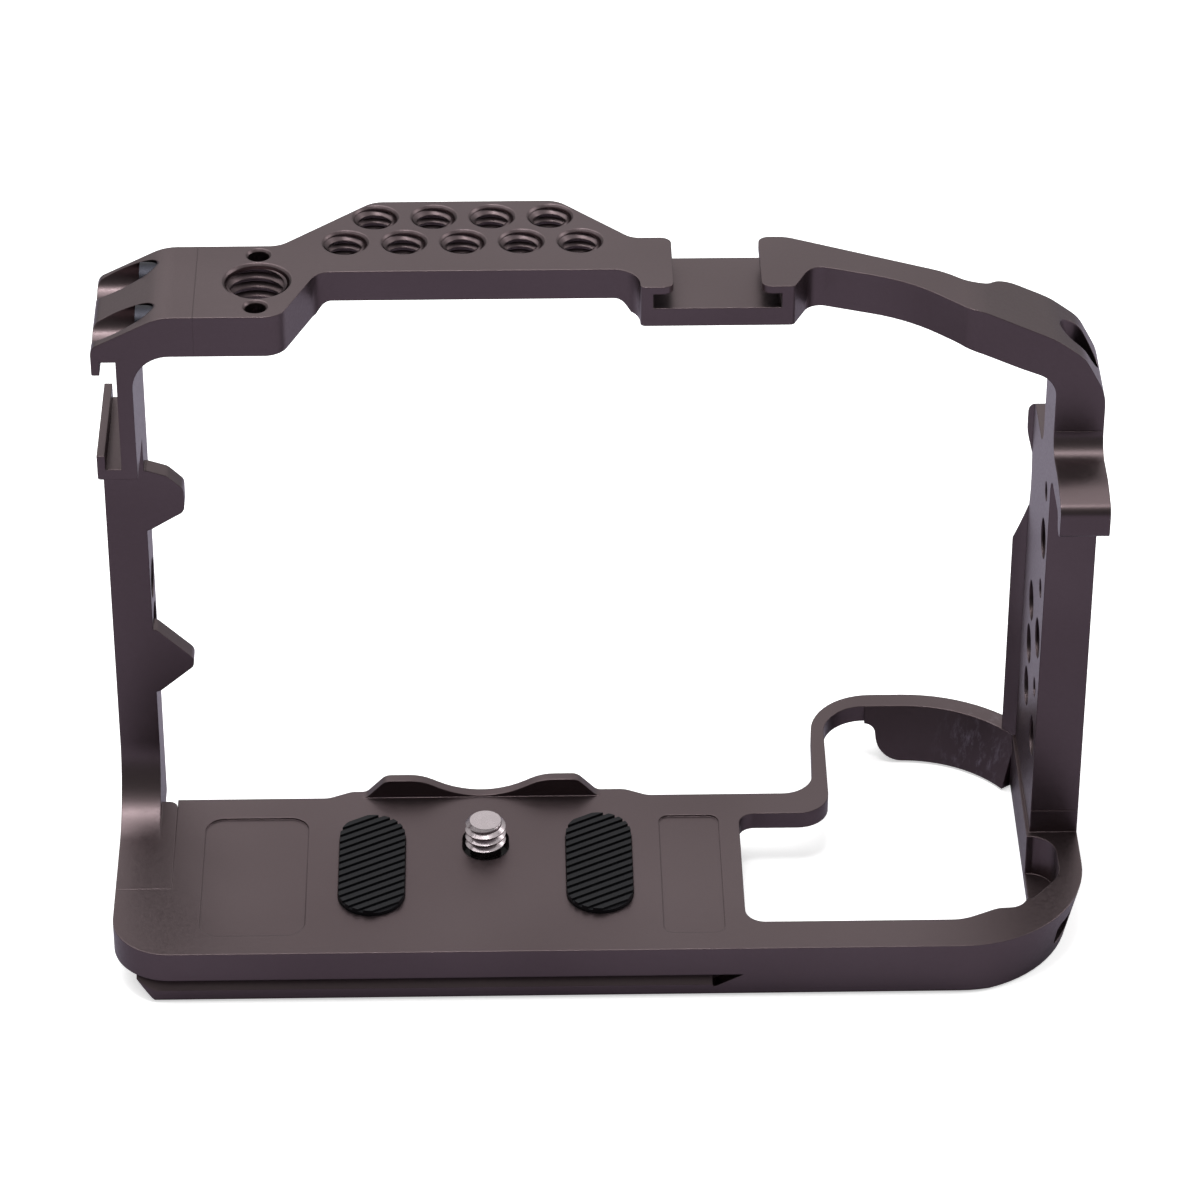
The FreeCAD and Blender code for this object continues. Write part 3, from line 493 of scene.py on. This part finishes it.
class CAGE_OT_screw(bpy.types.Operator):
    """Roll the thread of the camera screw"""
    bl_idname = "cage.screw"
    bl_label = "Camera screw"

    def execute(self, context):
        axis = Vector(MOUNTS["camera_screw_thread"]["pos_m"][:2]).to_3d()
        bm = merged_copy("camera_screw")
        bmesh.ops.translate(bm, vec=-axis, verts=bm.verts)
        # the CAD thread is a plain cylinder, so it shrinks to the core that the ridge stands on
        for vert in bm.verts:
            if vert.co.z > CORE_START * MM:
                keep_within(vert, SCREW_CORE * MM)
        smooth(bm, SHARP)
        section = ridge(SCREW_CORE - SCREW_SUNK, SCREW_CREST, QUARTER_PITCH, SCREW_RIDGE)
        thread = helix(section, QUARTER_PITCH, RIDGE_START, RIDGE_END, SCREW_STEPS)
        # the ridge runs out on the cone of the tip
        for vert in thread.verts:
            keep_within(vert, SCREW_TIP_FLAT * MM + (SCREW_TIP * MM - vert.co.z))
        join(bm, thread, Matrix.Identity(4))
        bmesh.ops.translate(bm, vec=axis, verts=bm.verts)
        piece = new_piece("camera_screw_threaded", bm, "screw", "stainless_steel", context)
        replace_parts(piece, "camera_screw")
        return {"FINISHED"}


class CAGE_OT_pads(bpy.types.Operator):
    """Show the two rubber pads smooth, with soft ribs"""
    bl_idname = "cage.pads"
    bl_label = "Rubber pads"

    def execute(self, context):
        for side in ("left", "right"):
            stand_in("rubber_pad_" + side, "ribbed_pad_" + side, "frame", "black_rubber", context)
        return {"FINISHED"}


class CAGE_OT_stage(bpy.types.Operator):
    """Put up the white studio, its lamps and the camera"""
    bl_idname = "cage.stage"
    bl_label = "Studio"

    def execute(self, context):
        settings = context.scene.cage_stage
        context.scene.view_settings.view_transform = "Standard"
        self.floor()
        self.surroundings(context.scene, settings)
        for name in LAMPS:
            self.lamp(context.scene, name, getattr(settings, name))
        self.camera(context.scene, settings.lens)
        return {"FINISHED"}

    def floor(self):
        """White paper under the cage."""
        material, tree, shader = new_material("White paper", Roughness=0.9)
        # the camera sees the paper as pure white; in reflections it is a dim table under the cage
        path = add(tree, "LightPath")
        paper = add(tree, "Mix", data_type="RGBA", _0=path.outputs["Is Glossy Ray"],
                    _6=linear("f3f3f3"), _7=linear("ada8b9"))
        tree.links.new(paper.outputs[2], shader.inputs["Base Color"])
        seen = add(tree, "Math", operation="MULTIPLY", _0=path.outputs["Is Camera Ray"], _1=0.55)
        tree.links.new(seen.outputs[0], shader.inputs["Emission Strength"])
        shader.inputs["Emission Color"].default_value = linear("ffffff")
        bm = bmesh.new()
        bmesh.ops.create_grid(bm, x_segments=1, y_segments=1, size=FLOOR_REACH)
        bmesh.ops.translate(bm, vec=(0, 0, FLOOR_HEIGHT), verts=bm.verts)
        new_object("floor", bm, material)

    def surroundings(self, scene, settings):
        """A white studio: the camera sees it as pure white, the cage as a soft sky."""
        world = bpy.data.worlds.new("White studio")
        world.use_nodes = True
        tree = world.node_tree
        scene.world = world
        here = add(tree, "TexCoord")
        # bright overhead and in front of the lens, dim behind the camera and at the horizon
        towards = add(tree, "VectorMath", operation="DOT_PRODUCT", _0=here.outputs["Generated"],
                      _1=SKY_TOWARDS)
        rise = add(tree, "MapRange", Value=towards.outputs["Value"], From_Min=0.3, From_Max=0.8,
                   To_Min=0.2, To_Max=settings.sky)
        path = add(tree, "LightPath")
        mix = add(tree, "Mix", data_type="FLOAT", _0=path.outputs["Is Camera Ray"],
                  _2=rise.outputs["Result"], _3=1.0)
        background = tree.nodes["Background"]
        tree.links.new(mix.outputs[0], background.inputs["Strength"])
        background.inputs["Color"].default_value = linear("ffffff")

    def lamp(self, scene, name, power):
        """A square lamp aimed at the cage."""
        place, side = LAMPS[name]
        data = bpy.data.lights.new(name, "AREA")
        data.size = side
        data.energy = power
        lamp = bpy.data.objects.new(name, data)
        lamp.location = place
        aim = LAMP_TARGET - Vector(place)
        lamp.rotation_euler = aim.to_track_quat("-Z", "Y").to_euler()
        scene.collection.objects.link(lamp)

    def camera(self, scene, lens):
        """The camera of the photo."""
        data = bpy.data.cameras.new("photo")
        data.sensor_width = SENSOR_MM
        data.lens = lens
        camera = bpy.data.objects.new("photo", data)
        turn = Matrix((PHOTO_RIGHT, PHOTO_UP, PHOTO_RIGHT.cross(PHOTO_UP))).transposed()
        # by way of a quaternion, which squares up the rounded directions
        turn = turn.to_quaternion().to_matrix().to_4x4()
        camera.matrix_world = Matrix.Translation(PHOTO_FROM) @ turn
        scene.collection.objects.link(camera)
        scene.camera = camera


class CAGE_PT_panel(bpy.types.Panel):
    """All settings and operators of the cage"""
    bl_label = "Camera cage"
    bl_idname = "CAGE_PT_panel"
    bl_space_type = "VIEW_3D"
    bl_region_type = "UI"
    bl_category = "Cage"

    def draw(self, context):
        for group in (context.scene.cage_finish, context.scene.cage_stage):
            for name in group.__annotations__:
                self.layout.prop(group, name)
        for operator in OPERATORS:
            self.layout.operator(operator.bl_idname)


GROUPS = (CageFinish, CageStage)
OPERATORS = (CAGE_OT_finishes, CAGE_OT_plates, CAGE_OT_threads, CAGE_OT_screw, CAGE_OT_pads,
             CAGE_OT_stage)
CLASSES = GROUPS + OPERATORS + (CAGE_PT_panel,)


def register():
    for cls in CLASSES:
        bpy.utils.register_class(cls)
    bpy.types.Scene.cage_finish = bpy.props.PointerProperty(type=CageFinish)
    bpy.types.Scene.cage_stage = bpy.props.PointerProperty(type=CageStage)


def unregister():
    del bpy.types.Scene.cage_stage
    del bpy.types.Scene.cage_finish
    for cls in reversed(CLASSES):
        bpy.utils.unregister_class(cls)


def main():
    register()
    bpy.ops.cage.finishes()
    bpy.ops.cage.plates()
    bpy.ops.cage.threads()
    bpy.ops.cage.screw()
    bpy.ops.cage.pads()
    bpy.ops.cage.stage()


if __name__ == "__main__":
    main()
